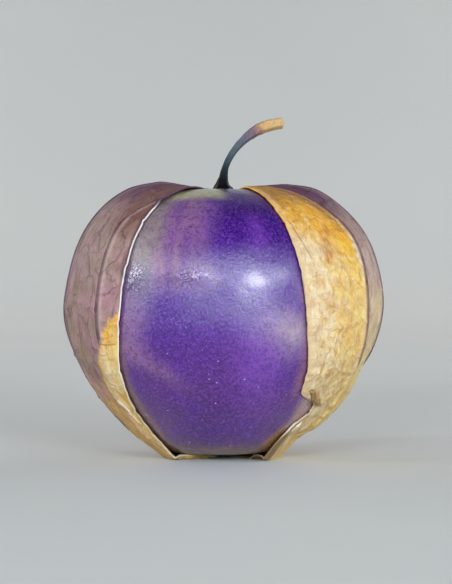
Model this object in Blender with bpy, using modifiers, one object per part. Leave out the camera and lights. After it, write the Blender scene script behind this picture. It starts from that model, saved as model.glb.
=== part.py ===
"""A ripe purple tomatillo in its dry husk, with one panel of the husk torn away.

Metres, +Z up. The origin is on the surface that it stands on, under the middle of its bounding box.
-Y is the front, where the torn husk shows the fruit. Azimuths are in degrees from the front towards +X.
"""

import math

import bmesh
import bpy
from mathutils import Vector, noise

MM = 0.001

# The husk's outside as (radius, height) pairs, four steps to a stretch: collar to shoulder, shoulder to
# waist, waist to foot. From the foot the wall lies flat and runs in under the fruit to the tips of its lobes.
HUSK_PROFILE_MM = (
    (2.4, 41.3), (4.3, 41.55), (6.4, 41.8), (8.4, 41.9), (10.6, 41.85),
    (15.1, 40.8), (19.8, 37.1), (23.4, 31.2), (24.6, 23.7),
    (23.3, 16.4), (19.8, 10.1), (14.9, 4.6), (9.3, 0.0),
)
# The lobes at the sides stand higher than the ones at the back, and the left one highest.
SHOULDER_SWAY = 0.5 * MM
SHOULDER_TILT = 0.25 * MM
WALL = 0.6 * MM
GAP = 0.3 * MM

# Eight of the ten ribs are left. The first, third, fifth and seventh run to the tips of the four lobes.
RIBS = (62, 97, 131, 166, 201, 236, 272, 310)
RIB_FLARE = 8.0
RIB_SWAY = 2.5
RIB_HEIGHT = 0.45 * MM
RIB_FOOT = 2.2
TIP_RADIUS = 1.2 * MM
NOTCH_RADIUS = 6.0 * MM

# The torn edges, as azimuths at the collar, the shoulder, the waist, the foot and the lobe's end.
RIGHT_EDGE = (38, 26.5, 32.5, 41.5, 45)
LEFT_EDGE = (318, 324, 319, 310, 330)
EDGE_RAGGEDNESS = 1.0
EDGE_HUG = 0.85
# From the loose place down the right one stands off the fruit. A bite goes into it: start, deepest and end.
LOOSE_PLACE = 2.5
BITE_AZIMUTH = 12.0
BITE_PLACES = (2.46, 2.56, 2.86)

# The husk swells to the right above the waist, and is pressed in low on the right.
SWELL = 0.5 * MM
SWELL_PLACE = 1.75
DENT_DEPTH = 1.6 * MM
DENT_AZIMUTH = 85
DENT_PLACE = 2.64

# Between two ribs the wall is a little flatter, and it carries a raised net of veins.
PANEL_FLATNESS = 0.4 * MM
VEIN_HEIGHT = 0.28 * MM
VEIN_SLIMNESS = 0.68
NET_COLUMNS = 5
LEFT_STRIP_COLUMNS = 2
NET_ROWS = 4
NET_OFFSETS = (0, 2, 3, 1)
NET_WANDER_ACROSS = 0.09
NET_WANDER_DOWN = 0.055
WRINKLE_HEIGHT = 0.35 * MM
WRINKLE_LENGTH = 9.0 * MM
ROWS = (5, 14, 15, 4)

# The fruit is broad at the stem end, where it has a dimple, and nearly fills the husk. Its front stands a
# little higher than its back.
FRUIT_RADIUS = 22.2 * MM
FRUIT_BOTTOM = 0.95 * MM
FRUIT_TOP = 41.3 * MM
FRUIT_SLOPE = 0.055
FRUIT_UPPER_ROUNDNESS = 2.8
FRUIT_LOWER_ROUNDNESS = 2.0
DIMPLE_DEPTH = 1.9 * MM
DIMPLE_RADIUS = 3.6 * MM
FRUIT_SEGMENTS = 40
FRUIT_RINGS = 26

# The stem bends to the right: distance right of its root, distance back, height and radius.
STEM_ROUTE_MM = (
    (0.0, 0.0, 40.55, 1.90),
    (0.0, 0.0, 41.60, 1.62),
    (0.0, 0.0, 42.50, 1.05),
    (0.15, 0.1, 43.60, 0.68),
    (0.4, 0.2, 45.00, 0.50),
    (1.1, 0.5, 46.60, 0.50),
    (2.1, 0.8, 48.10, 0.54),
    (3.3, 1.0, 49.40, 0.62),
    (4.6, 1.3, 50.45, 0.76),
    (5.8, 1.5, 51.15, 0.88),
    (7.3, 1.7, 51.70, 0.86),
    (8.5, 1.8, 51.95, 0.84),
    (9.5, 1.9, 52.10, 0.88),
)
STEM_STEPS = 3
STEM_SIDES = 15
STEM_RIDGES = 5
STEM_RIDGE_SHARE = 0.07

# The fruit shows in the open window and a lobe swells to the right, so the husk's own axis stands a little
# off the middle of the whole.
AXIS_X = -0.3 * MM
AXIS_Y = -1.2 * MM


def clear_scene():
    for obj in list(bpy.data.objects):
        bpy.data.objects.remove(obj)


def new_collection(name):
    collection = bpy.data.collections.new(name)
    bpy.context.scene.collection.children.link(collection)
    return collection


def add_material(obj, name, colour, roughness):
    material = bpy.data.materials.new(name)
    material.use_nodes = True
    shader = material.node_tree.nodes["Principled BSDF"]
    shader.inputs["Base Color"].default_value = (*colour, 1.0)
    shader.inputs["Roughness"].default_value = roughness
    shader.inputs["Metallic"].default_value = 0.0
    material.diffuse_color = (*colour, 1.0)
    obj.data.materials.append(material)


def mesh_object(name, bm, collection):
    mesh = bpy.data.meshes.new(name)
    bm.to_mesh(mesh)
    bm.free()
    mesh.shade_smooth()
    obj = bpy.data.objects.new(name, mesh)
    collection.objects.link(obj)
    return obj


def smooth_through(values, place):
    """The value at a place from 0 to len(values) - 1 on a smooth curve through the values."""
    index = min(int(place), len(values) - 2)
    share = place - index
    before = values[max(index - 1, 0)]
    start = values[index]
    end = values[index + 1]
    after = values[min(index + 2, len(values) - 1)]
    return start + 0.5 * share * (
        end - before
        + share * (2 * before - 5 * start + 4 * end - after + share * (3 * (start - end) + after - before))
    )


def fruit_reach(direction):
    """Distance from the fruit's middle to its skin in a direction, given as a unit vector."""
    level = Vector((direction.x, direction.y, direction.z + FRUIT_SLOPE * direction.y))
    return level_reach(level.normalized()) / level.length


def level_reach(direction):
    """The same for the fruit before its front is raised."""
    across = math.hypot(direction.x, direction.y)
    half_height = (FRUIT_TOP - FRUIT_BOTTOM) / 2
    roundness = FRUIT_UPPER_ROUNDNESS if direction.z > 0 else FRUIT_LOWER_ROUNDNESS
    norm = (across / FRUIT_RADIUS) ** roundness + (abs(direction.z) / half_height) ** roundness
    reach = norm ** (-1 / roundness)
    if direction.z > 0:
        reach -= DIMPLE_DEPTH * math.exp(-((reach * across / DIMPLE_RADIUS) ** 2))
    return reach


def fruit_middle():
    return Vector((0, 0, (FRUIT_TOP + FRUIT_BOTTOM) / 2))


def make_fruit(collection):
    bm = bmesh.new()
    bmesh.ops.create_uvsphere(bm, u_segments=FRUIT_SEGMENTS, v_segments=FRUIT_RINGS, radius=1.0)
    for vertex in bm.verts:
        direction = vertex.co.normalized()
        vertex.co = fruit_middle() + direction * fruit_reach(direction)
    fruit = mesh_object("fruit", bm, collection)
    add_material(fruit, "purple_skin", (0.105, 0.035, 0.27), 0.35)
    return fruit


def bump(value, middle, width):
    return math.exp(-(((value - middle) / width) ** 2))


def ease(value):
    value = max(0.0, min(1.0, value))
    return value * value * (3 - 2 * value)


def husk_profile(azimuth, place, end_radius):
    """(radius, height) of the outside. Place 0 is the collar, 1 shoulder, 2 waist, 3 foot, 4 lobe's end."""
    if place >= 3:
        foot = HUSK_PROFILE_MM[-1][0] * MM
        return foot + (end_radius - foot) * (place - 3), 0.0
    radius, height = (smooth_through(values, 4 * place) * MM for values in zip(*HUSK_PROFILE_MM))
    turn = math.radians(azimuth)
    height -= (SHOULDER_SWAY * math.cos(2 * turn) + SHOULDER_TILT * math.sin(turn)) * bump(place, 1, 0.6)
    radius += SWELL * math.sin(turn) * bump(place, SWELL_PLACE, 0.5)
    radius -= DENT_DEPTH * bump(azimuth, DENT_AZIMUTH, 40) * bump(place, DENT_PLACE, 0.25)
    return radius, height


def main_line(index, place):
    """Azimuth of main line 0, the right torn edge, 1 to 8, the ribs, or 9, the left torn edge."""
    if index in (0, len(RIBS) + 1):
        edge = smooth_through(RIGHT_EDGE if index == 0 else LEFT_EDGE, place)
        edge += EDGE_RAGGEDNESS * noise.noise(Vector((5.0 * place, 3 * index, 0)))
        if index == 0:
            start, deepest, end = BITE_PLACES
            opening = ease((place - start) / (deepest - start))
            edge += BITE_AZIMUTH * opening * (1 - ease((place - deepest) / (end - deepest)))
        return edge
    rib = RIBS[index - 1]
    flare = RIB_FLARE * math.sin(math.radians(rib)) * max(0.0, min(1.0, place - 2)) ** 1.5
    return rib + flare + RIB_SWAY * noise.noise(Vector((1.3 * place, 5 * index, 0)))


def lobe_end(line, share):
    """Radius where the husk's lobes end under the fruit. Odd main lines run to tips, even ones to notches."""
    towards_next = share if line % 2 else 1 - share
    return TIP_RADIUS + (NOTCH_RADIUS - TIP_RADIUS) * towards_next


def column_shares(line):
    """Shares of the way from one main line to the next at which the husk's columns stand."""
    if line == len(RIBS):
        foot = RIB_FOOT / (LEFT_EDGE[2] - RIBS[-1])
        return [0, foot] + [foot + (1 - foot) * k / LEFT_STRIP_COLUMNS for k in range(1, LEFT_STRIP_COLUMNS)]
    if line == 0:
        foot = RIB_FOOT / (RIBS[0] - RIGHT_EDGE[2])
        return [(1 - foot) * k / NET_COLUMNS for k in range(NET_COLUMNS + 1)]
    foot = RIB_FOOT / (RIBS[line] - RIBS[line - 1])
    return [0] + [foot + (1 - 2 * foot) * k / NET_COLUMNS for k in range(NET_COLUMNS + 1)]


def husk_columns():
    """(main line before it, number after that line) of each column, from the right edge round to the left."""
    found = [(line, number) for line in range(len(RIBS) + 1) for number in range(len(column_shares(line)))]
    return found + [(len(RIBS) + 1, 0)]


def husk_rows():
    """Places down the husk at which its rows stand."""
    places = [stretch + step / count for stretch, count in enumerate(ROWS) for step in range(count)]
    return places + [float(len(ROWS))]


def vein_column(line, block):
    """Number of the column that carries the upright vein of a block: it steps aside at each rung."""
    return NET_COLUMNS // 2 + block % 2 + (line > 0)


def on_net(line, number, row):
    """True on the net between two ribs: a rung every few rows, and an upright vein between the rungs."""
    if number == 0 or line > len(RIBS):
        return False
    block, step = divmod(row + NET_OFFSETS[line % len(NET_OFFSETS)], NET_ROWS)
    return step == 0 or (line < len(RIBS) and number == vein_column(line, block))


def husk_place(line, number, row, rows):
    """(share of the way to the next main line, place) of a corner of the sheet, drawn in beside a vein."""
    if line > len(RIBS):
        return 1.0, rows[row]
    shares = column_shares(line)
    share = shares[number]
    place = rows[row]
    if number == 0 or not 3 < row < len(rows) - 7:
        return share, place
    block, step = divmod(row + NET_OFFSETS[line % len(NET_OFFSETS)], NET_ROWS)
    if step in (1, NET_ROWS - 1):
        place += VEIN_SLIMNESS * (rows[row - 1 if step == 1 else row + 1] - place)
    vein = vein_column(line, block)
    if step and line < len(RIBS) and abs(number - vein) == 1:
        share += VEIN_SLIMNESS * (shares[vein] - share)
    if number < len(shares) - 1:
        wander = noise.noise_vector(Vector((3 * share + 9 * line, 8 * place, 0)))
        share += NET_WANDER_ACROSS * wander.x
        place += NET_WANDER_DOWN * wander.y
    return share, place


def husk_relief(line, number, row, place):
    """Height of the ribs and veins above the panels. It dies out where the husk is pressed flat."""
    fade = ease((3.0 - place) / 0.35) * min(1.0, 0.3 + 0.45 * place)
    if number == 0 and 0 < line <= len(RIBS):
        return RIB_HEIGHT * fade
    return VEIN_HEIGHT * fade if on_net(line, number, row) else 0.0


def hug(line, share, place):
    """How closely, from 0 to 1, the wall follows the fruit: at torn edges, and near the stem beside them."""
    beside = 1 - ease((place - 1.3) / 0.35)
    if line == 0:
        edge = EDGE_HUG * (1 - ease((place - LOOSE_PLACE) / 0.25))
        return edge + (beside - edge) * share
    if line >= len(RIBS):
        return EDGE_HUG + (beside - EDGE_HUG) * (1 - share)
    nearest = share if line == 1 else 1 - share if line == len(RIBS) - 1 else 1
    return beside * max(0.0, 1 - 2 * nearest)


def fit_to_fruit(point, closeness):
    """The point moved some of the way to the fruit, but kept clear of it by the wall and the gap."""
    offset = point - fruit_middle()
    least = (fruit_reach(offset.normalized()) + 1.03 * (WALL + GAP)) / offset.length
    return fruit_middle() + offset * max(least, 1 + closeness * (least - 1))


def husk_point(line, share, place):
    """Where a place on the husk's sheet lies, before its ribs and veins are raised."""
    if line > len(RIBS):
        line, share = len(RIBS), 1.0
    azimuth = main_line(line, place) * (1 - share) + main_line(line + 1, place) * share
    turn = math.radians(azimuth)
    radius, height = husk_profile(azimuth, place, lobe_end(line, share))
    if place >= 3:
        return Vector((radius * math.sin(turn), -radius * math.cos(turn), 0.0))
    standing = ease((3.0 - place) / 0.35)
    radius -= PANEL_FLATNESS * 4 * share * (1 - share) * standing * min(1.0, place)
    point = Vector((radius * math.sin(turn), -radius * math.cos(turn), height))
    outward = (point - fruit_middle()).normalized()
    point += outward * WRINKLE_HEIGHT * standing * noise.noise(point / WRINKLE_LENGTH)
    point = fit_to_fruit(point, hug(line, share, place) * standing)
    point.z = max(point.z, 0.0)
    return point


def make_husk(collection):
    columns = husk_columns()
    rows = husk_rows()
    bm = bmesh.new()
    bmesh.ops.create_grid(bm, x_segments=len(columns) - 1, y_segments=len(rows) - 1, size=0.5)
    relief = {}
    for vertex in bm.verts:
        line, number = columns[round((vertex.co.x + 0.5) * (len(columns) - 1))]
        row = round((0.5 - vertex.co.y) * (len(rows) - 1))
        share, place = husk_place(line, number, row, rows)
        relief[vertex] = husk_relief(line, number, row, place)
        vertex.co = husk_point(line, share, place)
    bm.normal_update()
    if sum(vertex.normal.dot(vertex.co - fruit_middle()) for vertex in bm.verts) < 0:
        bmesh.ops.reverse_faces(bm, faces=bm.faces)
        bm.normal_update()
    for vertex, height in relief.items():
        vertex.co += vertex.normal * height
    bmesh.ops.triangulate(bm, faces=bm.faces)
    husk = mesh_object("husk", bm, collection)
    wall = husk.modifiers.new("paper_wall", "SOLIDIFY")
    wall.thickness = WALL
    wall.offset = -1.0
    wall.use_even_offset = False
    add_material(husk, "dry_husk", (0.47, 0.30, 0.25), 0.7)
    return husk


def stem_section(collection):
    """The stem's section, a low five-lobed round of radius 1, as a guide that isn't part of the fruit."""
    curve = bpy.data.curves.new("stem_section", "CURVE")
    spline = curve.splines.new("POLY")
    spline.points.add(STEM_SIDES - 1)
    for number, point in enumerate(spline.points):
        angle = -2 * math.pi * number / STEM_SIDES
        reach = 1 + STEM_RIDGE_SHARE * math.cos(STEM_RIDGES * angle)
        point.co = (reach * math.cos(angle), reach * math.sin(angle), 0, 1)
    spline.use_cyclic_u = True
    section = bpy.data.objects.new("stem_section", curve)
    section.hide_render = True
    section.display_type = "WIRE"
    collection.objects.link(section)
    return section


def make_stem(collection, guides):
    curve = bpy.data.curves.new("stem", "CURVE")
    curve.dimensions = "3D"
    curve.bevel_mode = "OBJECT"
    curve.bevel_object = stem_section(guides)
    curve.use_fill_caps = True
    curve.twist_mode = "MINIMUM"
    stretches = len(STEM_ROUTE_MM) - 1
    spline = curve.splines.new("POLY")
    spline.points.add(stretches * STEM_STEPS)
    for number, point in enumerate(spline.points):
        place = number / STEM_STEPS
        x, y, z, radius = (smooth_through(values, place) * MM for values in zip(*STEM_ROUTE_MM))
        point.co = (x, y, z, 1)
        point.radius = radius
    stem = bpy.data.objects.new("stem", curve)
    collection.objects.link(stem)
    add_material(stem, "stem_skin", (0.12, 0.11, 0.08), 0.6)
    return stem


def main():
    clear_scene()
    tomatillo = new_collection("tomatillo")
    guides = new_collection("guides")
    axis = bpy.data.objects.new("husk_axis", None)
    axis.location = (AXIS_X, AXIS_Y, 0)
    tomatillo.objects.link(axis)
    for piece in (make_fruit(tomatillo), make_husk(tomatillo), make_stem(tomatillo, guides)):
        piece.parent = axis


main()
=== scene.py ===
"""The looks of the tomatillo: a papery husk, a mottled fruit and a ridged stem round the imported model."""

import math
from types import SimpleNamespace

import bmesh
import bpy
import numpy as np
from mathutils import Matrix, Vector, noise
from mathutils.bvhtree import BVHTree


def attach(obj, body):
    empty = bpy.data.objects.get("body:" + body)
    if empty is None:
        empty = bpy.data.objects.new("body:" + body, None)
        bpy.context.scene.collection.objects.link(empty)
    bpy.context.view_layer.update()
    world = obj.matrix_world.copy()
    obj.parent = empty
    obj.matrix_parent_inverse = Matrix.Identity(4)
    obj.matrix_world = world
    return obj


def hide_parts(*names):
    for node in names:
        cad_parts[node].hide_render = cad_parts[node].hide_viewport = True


MM = 0.001

# The same driving sizes as the model: see the husk's stretches, ribs, torn edges and net there.
HUSK_PROFILE_MM = (
    (2.4, 41.3), (4.3, 41.55), (6.4, 41.8), (8.4, 41.9), (10.6, 41.85),
    (15.1, 40.8), (19.8, 37.1), (23.4, 31.2), (24.6, 23.7),
    (23.3, 16.4), (19.8, 10.1), (14.9, 4.6), (9.3, 0.0),
)
SHOULDER_SWAY = 0.5 * MM
SHOULDER_TILT = 0.25 * MM
WALL = 0.6 * MM
GAP = 0.3 * MM
RIBS = (62, 97, 131, 166, 201, 236, 272, 310)
# Main line 0 is the right torn edge, lines 1 to LAST are the ribs, and the next is the left torn edge.
# Panel n lies between lines n and n + 1.
LAST = len(RIBS)
RIB_FLARE = 8.0
RIB_SWAY = 2.5
RIB_HEIGHT = 0.45 * MM
RIB_FOOT = 2.2
TIP_RADIUS = 1.2 * MM
NOTCH_RADIUS = 6.0 * MM
RIGHT_EDGE = (38, 26.5, 32.5, 41.5, 45)
LEFT_EDGE = (318, 324, 319, 310, 330)
EDGE_RAGGEDNESS = 1.0
EDGE_HUG = 0.85
LOOSE_PLACE = 2.5
BITE_AZIMUTH = 12.0
BITE_PLACES = (2.46, 2.56, 2.86)
SWELL = 0.5 * MM
SWELL_PLACE = 1.75
DENT_DEPTH = 1.6 * MM
DENT_AZIMUTH = 85
DENT_PLACE = 2.64
PANEL_FLATNESS = 0.4 * MM
VEIN_HEIGHT = 0.28 * MM
VEIN_SLIMNESS = 0.68
NET_COLUMNS = 5
LEFT_STRIP_COLUMNS = 2
NET_ROWS = 4
NET_OFFSETS = (0, 2, 3, 1)
NET_WANDER_ACROSS = 0.09
NET_WANDER_DOWN = 0.055
# noise_vector starts from the clock unless it is given a seed. This one gives the net of the CAD husk.
NET_SEED = 1796061863
WRINKLE_HEIGHT = 0.35 * MM
WRINKLE_LENGTH = 9.0 * MM
ROWS = (5, 14, 15, 4)
FRUIT_RADIUS = 22.2 * MM
FRUIT_BOTTOM = 0.95 * MM
FRUIT_TOP = 41.3 * MM
FRUIT_SLOPE = 0.055
FRUIT_UPPER_ROUNDNESS = 2.8
FRUIT_LOWER_ROUNDNESS = 2.0
DIMPLE_DEPTH = 1.9 * MM
DIMPLE_RADIUS = 3.6 * MM
STEM_ROUTE_MM = (
    (0.0, 0.0, 40.55, 1.90),
    (0.0, 0.0, 41.60, 1.62),
    (0.0, 0.0, 42.50, 1.05),
    (0.15, 0.1, 43.60, 0.68),
    (0.4, 0.2, 45.00, 0.50),
    (1.1, 0.5, 46.60, 0.50),
    (2.1, 0.8, 48.10, 0.54),
    (3.3, 1.0, 49.40, 0.62),
    (4.6, 1.3, 50.45, 0.76),
    (5.8, 1.5, 51.15, 0.88),
    (7.3, 1.7, 51.70, 0.86),
    (8.5, 1.8, 51.95, 0.84),
    (9.5, 1.9, 52.10, 0.88),
)
AXIS = Vector((-0.3 * MM, -1.2 * MM, 0))

# Finer than the model: the paper is thin, the torn edges are jagged, and the fruit is a little plumper.
PAPER = 0.24 * MM
FINE_ROWS = (14, 54, 60, 14)
FINE_STEPS = {0: 0.3 * MM, 8: 0.3 * MM, 1: 0.42 * MM, 7: 0.42 * MM}
BACK_STEP = 0.62 * MM
JAG = (0.22, 0.18)
DEEPER_DENT = 0.4 * MM
FRUIT_PLUMP = 0.42 * MM
CORNER_PLUMP = 1.1 * MM
CORNER_SLOPE = -65
SKIN_CLEARANCE = 1.3 * PAPER + 0.05 * MM

# The paper's relief. Along the torn edges it tucks in, and under the fruit it turns up in a lip.
RIB_SPREAD = 0.75 * MM
VEIN_SPREAD = 0.6 * MM
QUILT_HEIGHT = 0.12 * MM
RIDGE_HEIGHT = 0.2 * MM
GROOVE_DEPTH = 0.14 * MM
EDGE_TUCK = 0.16 * MM
TUCK_WIDTH = 0.9 * MM
LIP_HEIGHT = 0.7 * MM
LIP_WIDTH = 1.6 * MM
LIP_PLACE = 2.93

# Millimetres along the unrolled husk for each degree, and metres for each unit of place.
ARC_PER_DEGREE = 0.436
STRETCH_LENGTH = 27 * MM
LEAST_WIDTH = 0.1 * MM
# Stands for a distance to a line that the panel doesn't have.
FAR = 1.0

# At the top the last rib bends over to the torn edge beside it.
LEFT_RIB_BEND = 15.0

# Creases in the paper as lines of (azimuth, height in mm).
LIGHT_CREASES = (((-54.6, 12.0), (-53.0, 10.2), (-51.7, 8.6), (-51.1, 6.2)),)
# The dark creases are grooves with painted shade in the folds.
SHADED_CREASES = (
    ((28.5, 38.6), (31.0, 36.6), (33.5, 34.0), (36.0, 31.6)),
    ((-51.5, 18.7), (-48.5, 18.3), (-44.5, 18.5)),
)

# The photograph's view: the camera's distance and height, and the frame's middle and height at the fruit.
CAMERA_DISTANCE = 380 * MM
EYE_HEIGHT = 40.5 * MM
FRAME_MIDDLE = (0.245 * MM, 25.7 * MM)
FRAME_HEIGHT = 91.0 * MM

# The floor lies this much below the fruit's foot, so that the two don't share a plane.
FLOOR_DROP = 0.00002

# The lights' colours, and how wide the front ones' beams open, in degrees.
COOL = (0.93, 0.96, 1.0)
WARM = (1.0, 0.99, 0.97)
SKY = (0.86, 0.97, 1.0)
WINDOW_BEAM = 60
BAND_BEAM = 110
# Windows that the skin mirrors: azimuth, elevation, width and height in metres, and radiance.
WINDOWS = (
    ("right", 26, 11, (0.42, 0.25), 16.0), ("right_core", 25, 11.5, (0.26, 0.18), 12.0),
    ("far_right", 48, 16, (0.38, 0.17), 6.5), ("middle", -18, 15.5, (0.50, 0.13), 25.0),
    ("left", -74, 14, (0.18, 0.15), 40.0),
)


def srgb(*levels):
    """A colour as seen on a screen, 0 to 255, as linear values."""
    shares = [level / 255 for level in levels]
    return tuple(v / 12.92 if v <= 0.04045 else ((v + 0.055) / 1.055) ** 2.4 for v in shares)


def bump(value, middle, width):
    return math.exp(-(((value - middle) / width) ** 2))


def ease(value):
    value = max(0.0, min(1.0, value))
    return value * value * (3 - 2 * value)


def between(low, high, value):
    """0 before low, 1 beyond high and a smooth rise between them. Low may be the larger of the two."""
    return ease((value - low) / (high - low))


def mix(a, b, share):
    share = max(0.0, min(1.0, share))
    return tuple(x + (y - x) * share for x, y in zip(a, b))


def layered(tint, *layers):
    """The tint with each (colour, share, spans) mixed over it in turn. Each span is as between takes it."""
    for colour, share, *spans in layers:
        tint = mix(tint, colour, share * math.prod(between(*span) for span in spans))
    return tint


def ripple(x, y, z):
    return noise.noise(Vector((x, y, z)))


def smooth_through(values, place):
    index = min(int(place), len(values) - 2)
    share = place - index
    before = values[max(index - 1, 0)]
    start = values[index]
    end = values[index + 1]
    after = values[min(index + 2, len(values) - 1)]
    return start + 0.5 * share * (
        end - before
        + share * (2 * before - 5 * start + 4 * end - after + share * (3 * (start - end) + after - before))
    )


# The fruit's and the husk's form

def level_reach(direction):
    across = math.hypot(direction.x, direction.y)
    half_height = (FRUIT_TOP - FRUIT_BOTTOM) / 2
    roundness = FRUIT_UPPER_ROUNDNESS if direction.z > 0 else FRUIT_LOWER_ROUNDNESS
    norm = (across / FRUIT_RADIUS) ** roundness + (abs(direction.z) / half_height) ** roundness
    reach = norm ** (-1 / roundness)
    if direction.z > 0:
        reach -= DIMPLE_DEPTH * math.exp(-((reach * across / DIMPLE_RADIUS) ** 2))
    return reach


def fruit_reach(direction):
    level = Vector((direction.x, direction.y, direction.z + FRUIT_SLOPE * direction.y))
    return level_reach(level.normalized()) / level.length


FRUIT_MIDDLE = Vector((0, 0, (FRUIT_TOP + FRUIT_BOTTOM) / 2))


def husk_profile(azimuth, place, end_radius):
    if place >= 3:
        foot = HUSK_PROFILE_MM[-1][0] * MM
        return foot + (end_radius - foot) * (place - 3), 0.0
    radius, height = (smooth_through(values, 4 * place) * MM for values in zip(*HUSK_PROFILE_MM))
    turn = math.radians(azimuth)
    height -= (SHOULDER_SWAY * math.cos(2 * turn) + SHOULDER_TILT * math.sin(turn)) * bump(place, 1, 0.6)
    radius += SWELL * math.sin(turn) * bump(place, SWELL_PLACE, 0.5)
    radius -= (DENT_DEPTH + DEEPER_DENT) * bump(azimuth, DENT_AZIMUTH, 40) * bump(place, DENT_PLACE, 0.25)
    return radius, height


def main_line(index, place):
    if index in (0, LAST + 1):
        edge = smooth_through(RIGHT_EDGE if index == 0 else LEFT_EDGE, place)
        edge += EDGE_RAGGEDNESS * ripple(5.0 * place, 3 * index, 0)
        rougher = 1 + 3 * between(2.45, 2.7, place)
        edge += JAG[0] * rougher * ripple(31.0 * place, 3 * index, 2)
        edge += JAG[1] * rougher * ripple(90.0 * place, 3 * index, 5)
        if index == 0:
            start, deepest, end = BITE_PLACES
            opening = ease((place - start) / (deepest - start))
            edge += BITE_AZIMUTH * opening * (1 - ease((place - deepest) / (end - deepest)))
        return edge
    rib = RIBS[index - 1]
    flare = RIB_FLARE * math.sin(math.radians(rib)) * max(0.0, min(1.0, place - 2)) ** 1.5
    return rib + flare + RIB_SWAY * ripple(1.3 * place, 5 * index, 0)


def lobe_end(line, share):
    towards_next = share if line % 2 else 1 - share
    return TIP_RADIUS + (NOTCH_RADIUS - TIP_RADIUS) * towards_next


def hug(line, share, place):
    beside = 1 - ease((place - 1.3) / 0.35)
    if line == 0:
        edge = EDGE_HUG * (1 - ease((place - LOOSE_PLACE) / 0.25))
        return edge + (beside - edge) * share
    if line >= LAST:
        return EDGE_HUG + (beside - EDGE_HUG) * (1 - share)
    nearest = share if line == 1 else 1 - share if line == LAST - 1 else 1
    return beside * max(0.0, 1 - 2 * nearest)


def fit_to_fruit(point, closeness):
    offset = point - FRUIT_MIDDLE
    least = (fruit_reach(offset.normalized()) + 1.03 * (WALL + GAP)) / offset.length
    return FRUIT_MIDDLE + offset * max(least, 1 + closeness * (least - 1))


def husk_point(line, share, place):
    """(point, azimuth, radius) of a place on the husk's sheet, before its ribs and veins are raised."""
    azimuth = main_line(line, place) * (1 - share) + main_line(line + 1, place) * share
    turn = math.radians(azimuth)
    radius, height = husk_profile(azimuth, place, lobe_end(line, share))
    if place >= 3:
        return Vector((radius * math.sin(turn), -radius * math.cos(turn), 0.0)), azimuth
    standing = ease((3.0 - place) / 0.35)
    radius -= PANEL_FLATNESS * 4 * share * (1 - share) * standing * min(1.0, place)
    point = Vector((radius * math.sin(turn), -radius * math.cos(turn), height))
    outward = (point - FRUIT_MIDDLE).normalized()
    point += outward * WRINKLE_HEIGHT * standing * noise.noise(point / WRINKLE_LENGTH)
    point = fit_to_fruit(point, hug(line, share, place) * standing)
    point.z = max(point.z, 0.0)
    return point, azimuth


# The model's raised net, as stretches in (share, place)

def column_shares(line):
    if line == LAST:
        foot = RIB_FOOT / (LEFT_EDGE[2] - RIBS[-1])
        return [0, foot] + [foot + (1 - foot) * k / LEFT_STRIP_COLUMNS for k in range(1, LEFT_STRIP_COLUMNS)]
    if line == 0:
        foot = RIB_FOOT / (RIBS[0] - RIGHT_EDGE[2])
        return [(1 - foot) * k / NET_COLUMNS for k in range(NET_COLUMNS + 1)]
    foot = RIB_FOOT / (RIBS[line] - RIBS[line - 1])
    return [0] + [foot + (1 - 2 * foot) * k / NET_COLUMNS for k in range(NET_COLUMNS + 1)]


def husk_place(line, number, row, rows):
    shares = column_shares(line)
    if number >= len(shares):
        return 1.0, rows[row]
    share = shares[number]
    place = rows[row]
    if number == 0 or not 3 < row < len(rows) - 7:
        return share, place
    step = (row + NET_OFFSETS[line % len(NET_OFFSETS)]) % NET_ROWS
    if step in (1, NET_ROWS - 1):
        place += VEIN_SLIMNESS * (rows[row - 1 if step == 1 else row + 1] - place)
    if number < len(shares) - 1:
        wander = noise.noise_vector(Vector((3 * share + 9 * line, 8 * place, 0)))
        share += NET_WANDER_ACROSS * wander.x
        place += NET_WANDER_DOWN * wander.y
    return share, place


def stepped(counts):
    """Places from 0 to 4, where each stretch is cut into its count of steps."""
    return [stretch + step / count for stretch, count in enumerate(counts) for step in range(count)] + [4.0]


def net_stretches(line):
    """Ends of the stretches of the net between two ribs: rungs, and the upright veins between them."""
    rows = stepped(ROWS)
    found = []

    def add(number, row, next_number, next_row):
        found.append((husk_place(line, number, row, rows), husk_place(line, next_number, next_row, rows)))

    for row in range(1, len(rows) - 7):
        block, step = divmod(row + NET_OFFSETS[line % len(NET_OFFSETS)], NET_ROWS)
        if step == 0:
            for number in range(len(column_shares(line))):
                add(number, row, number + 1, row)
        if line < LAST:
            vein = NET_COLUMNS // 2 + block % 2 + (line > 0)
            add(vein, row, vein, row + 1)
    return found


def distance_to_net(line, shares, places, width, length):
    """Distance in metres of (share, place) spots to the net, where width and length scale them locally."""
    nearest = np.full(len(shares), 1.0)
    for (s0, p0), (s1, p1) in net_stretches(line):
        near = (places > min(p0, p1) - 0.08) & (places < max(p0, p1) + 0.08)
        if not near.any():
            continue
        w = width[near]
        dx, dy = (s1 - s0) * w, (p1 - p0) * length
        px, py = (shares[near] - s0) * w, (places[near] - p0) * length
        t = np.clip((px * dx + py * dy) / np.maximum(dx * dx + dy * dy, 1e-12), 0, 1)
        nearest[near] = np.minimum(nearest[near], np.hypot(px - t * dx, py - t * dy))
    return nearest


# Small builders

def new_object(name, mesh, node):
    obj = bpy.data.objects.new(name, mesh)
    bpy.context.scene.collection.objects.link(obj)
    obj.location = AXIS
    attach(obj, "root")
    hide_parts(node)
    return obj


def write_attributes(mesh, **named):
    """Writes attributes of the mesh's points: numbers, vectors or colours, by how many values a point has."""
    kinds = {1: ("FLOAT", "value"), 3: ("FLOAT_VECTOR", "vector"), 4: ("FLOAT_COLOR", "color")}
    for name, values in named.items():
        values = np.asarray(values, np.float32).ravel()
        kind, key = kinds[len(values) // len(mesh.vertices)]
        mesh.attributes.new(name, kind, "POINT").data.foreach_set(key, values)


def finished_mesh(bm, name):
    mesh = bpy.data.meshes.new(name)
    bm.to_mesh(mesh)
    bm.free()
    mesh.shade_smooth()
    return mesh


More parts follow.
